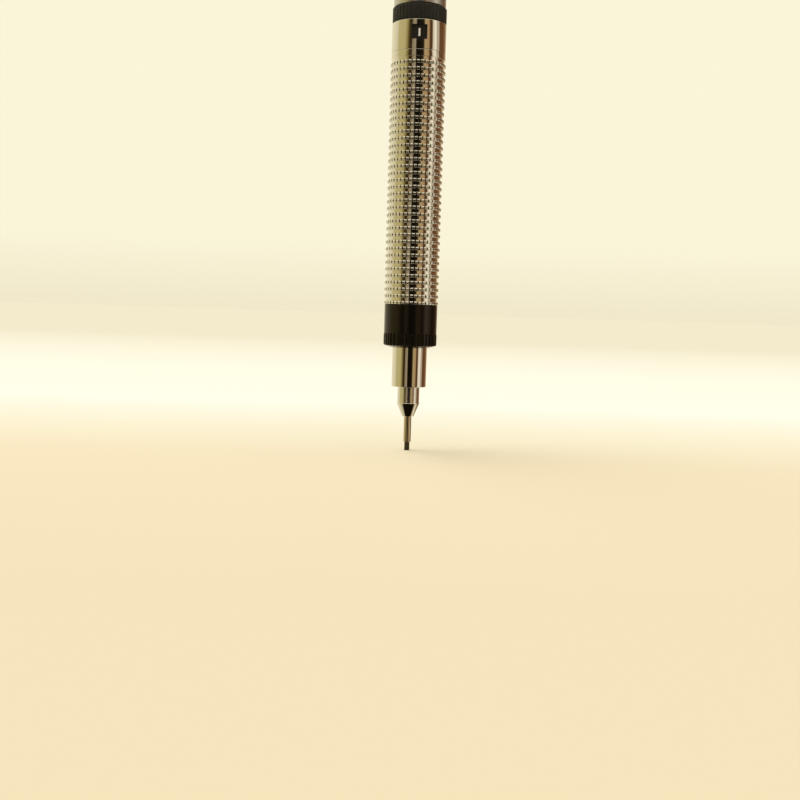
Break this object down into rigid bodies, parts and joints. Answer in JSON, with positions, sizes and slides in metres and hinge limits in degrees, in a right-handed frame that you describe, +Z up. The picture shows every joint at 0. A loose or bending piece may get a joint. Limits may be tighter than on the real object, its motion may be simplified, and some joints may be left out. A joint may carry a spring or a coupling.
{
  "type": "mechanical pencil",
  "caption": "Drafting mechanical pencil with a stepped chrome nose, fluted black nose-adjusting ring, knurled metal grip, lead-grade ring, pocket clip and push-button cap over an eraser.",
  "frame": {"origin": "centre of the lead's flat end, on the pencil's axis, where the point touches what it draws on", "axes": "+Z up the pencil's axis from the point to the cap, +X towards the pocket clip, -Y towards the lead-grade window"},
  "size_m": [0.0117, 0.0094, 0.1459],
  "materials": {
    "graphite": "matt dark grey, drawn lead",
    "pipe_steel": "satin stainless tube",
    "chrome": "mirror chrome plating",
    "brass": "bare turned brass",
    "steel": "bright drawn steel wire",
    "black_lacquer": "satin gloss black",
    "black_plastic": "matt black moulding",
    "black_rubber": "soft black rubber",
    "silver_aluminium": "satin anodised",
    "white_plastic": "white moulding",
    "clear_plastic": "milky extruded tube",
    "eraser_rubber": "white soft rubber"
  },
  "bodies": {
    "barrel": {"guide_pipe": "pipe_steel", "pipe_holder": "brass", "lead_retainer": "black_rubber", "mechanism_housing": "brass", "key_pins": "steel", "snap_ring": "steel", "grip": "chrome", "coupling": "brass", "window_collar": "chrome", "grade_o_ring": "black_rubber", "barrel": "silver_aluminium", "tail_bush": "white_plastic", "clip": "chrome", "tail_ring": "black_lacquer"},
    "adjuster": {"adjuster_ring": "black_lacquer", "nose_o_ring": "black_rubber"},
    "nose": {"nose_tip": "chrome", "nose_sleeve": "chrome"},
    "clutch": {"clutch_ring": "brass"},
    "lead": {"lead": "graphite"},
    "plunger": {"chuck": "brass", "return_spring": "steel", "chuck_connector": "brass", "lead_tube": "clear_plastic", "spare_leads": "graphite", "knock_sleeve": "brass"},
    "grade": {"grade_ring": "black_plastic"},
    "eraser": {"eraser_holder": "white_plastic", "eraser": "eraser_rubber", "cleaning_pin": "steel"},
    "cap": {"cap": "chrome"}
  },
  "joints": [
    {"name": "ring_turn", "type": "hinge", "parent": "barrel", "child": "adjuster", "pos_m": [0, 0, 0.0217], "axis": [0, 0, 1], "range_deg": [0, 720]},
    {"name": "nose_slide", "type": "slide", "parent": "barrel", "child": "nose", "axis": [0, 0, -1], "range_m": [0, 0.004]},
    {"name": "knock", "type": "slide", "parent": "barrel", "child": "plunger", "axis": [0, 0, -1], "range_m": [0, 0.003], "stiffness_N_per_m": 700, "springref_m": -0.0045, "deforming": ["return_spring"]},
    {"name": "clutch_slide", "type": "slide", "parent": "barrel", "child": "clutch", "axis": [0, 0, -1], "range_m": [0, 0.0007]},
    {"name": "lead_feed", "type": "slide", "parent": "clutch", "child": "lead", "axis": [0, 0, -1], "range_m": [-0.00145, 0.003]},
    {"name": "grade_turn", "type": "hinge", "parent": "barrel", "child": "grade", "pos_m": [0, 0, 0.0722], "axis": [0, 0, 1], "continuous": true},
    {"name": "eraser_pull", "type": "slide", "parent": "plunger", "child": "eraser", "axis": [0, 0, 1], "range_m": [0, 0.025]},
    {"name": "cap_pull", "type": "slide", "parent": "eraser", "child": "cap", "axis": [0, 0, 1], "range_m": [0, 0.016]}
  ],
  "couplings": [
    {"joint": "ring_turn", "follows": "nose_slide", "rad_per_m": 3141.6},
    {"joint": "clutch_slide", "follows": "knock", "ratio": 0.2333}
  ]
}
